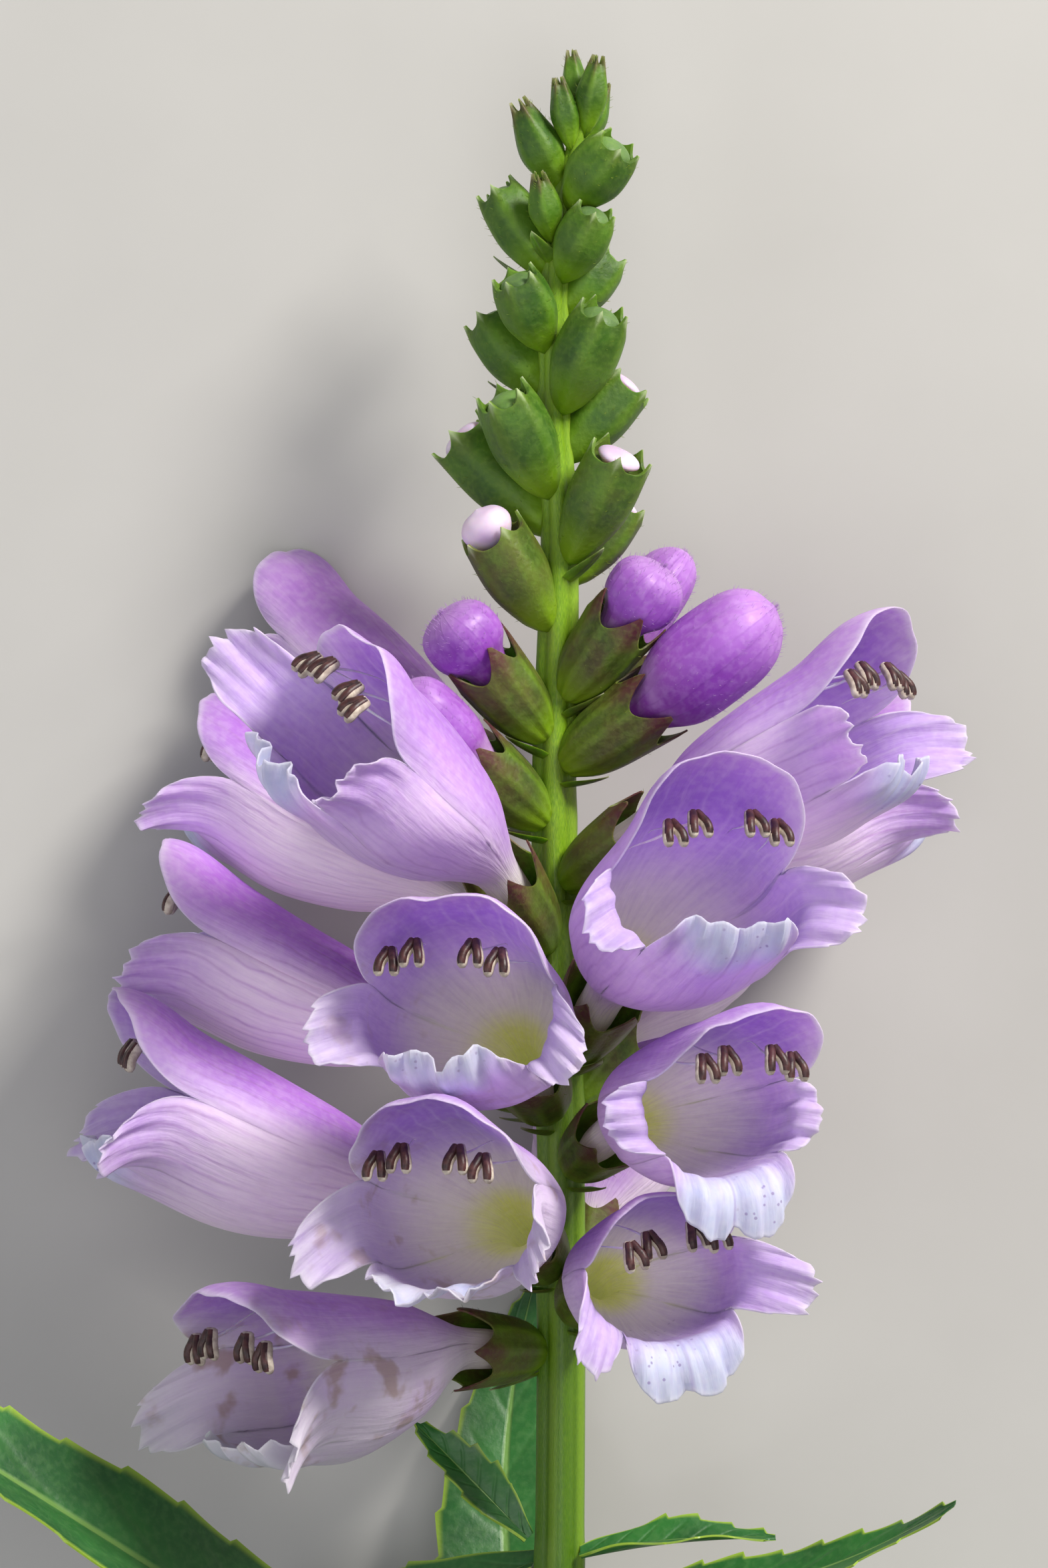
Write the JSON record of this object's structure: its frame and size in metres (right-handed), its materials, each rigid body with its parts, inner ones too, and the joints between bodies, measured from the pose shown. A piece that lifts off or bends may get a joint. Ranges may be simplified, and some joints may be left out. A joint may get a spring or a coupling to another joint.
{
  "type": "obedient plant stem",
  "caption": "Cut stem of obedient plant lying flat: square green stem, toothed lance leaves, a spike of lilac hooded tubular flowers, purple buds and a tapering tip of green buds.",
  "frame": {"origin": "middle of the plant's box, seen from above, on the surface that it lies on", "axes": "+Y runs up the stem from the cut end to the tip, +Z away from the surface, towards the side that the flowers face, +X to the right seen from above"},
  "size_m": [0.1112, 0.1896, 0.0493],
  "materials": {
    "stem": "smooth green stem with darker green calyces and buds",
    "leaf": "glossy dark green with yellow-green toothed edges",
    "petal": "thin lilac petals, paler inside the lower lip",
    "bud": "smooth purple closed petals",
    "pale_bud": "pale pinkish closed petals"
  },
  "bodies": {
    "root": {"stem": "stem", "leaf_upper_left": "leaf", "leaf_upper_right": "leaf", "leaf_middle_left": "leaf", "leaf_middle_right": "leaf", "leaf_behind": "leaf", "leaf_lower_left": "leaf", "leaf_lower_right": "leaf", "corolla_front_right_1": "petal", "corolla_front_right_2": "petal", "corolla_front_right_3": "petal", "corolla_front_right_4": "petal", "corolla_front_left_1": "petal", "corolla_front_left_2": "petal", "corolla_front_left_3": "petal", "corolla_back_left_1": "petal", "corolla_back_left_2": "petal", "corolla_back_left_3": "petal", "corolla_back_left_4": "petal", "corolla_back_left_5": "petal", "corolla_back_right_1": "petal", "corolla_back_right_2": "petal", "corolla_back_right_3": "petal", "bud_front_left_4": "bud", "bud_front_left_5": "bud", "bud_front_right_5": "bud", "bud_front_right_6": "bud", "bud_back_right_4": "bud", "bud_pale_1": "pale_bud", "bud_pale_2": "pale_bud", "bud_pale_3": "pale_bud", "bud_pale_4": "pale_bud", "bud_pale_5": "pale_bud"}
  },
  "joints": []
}
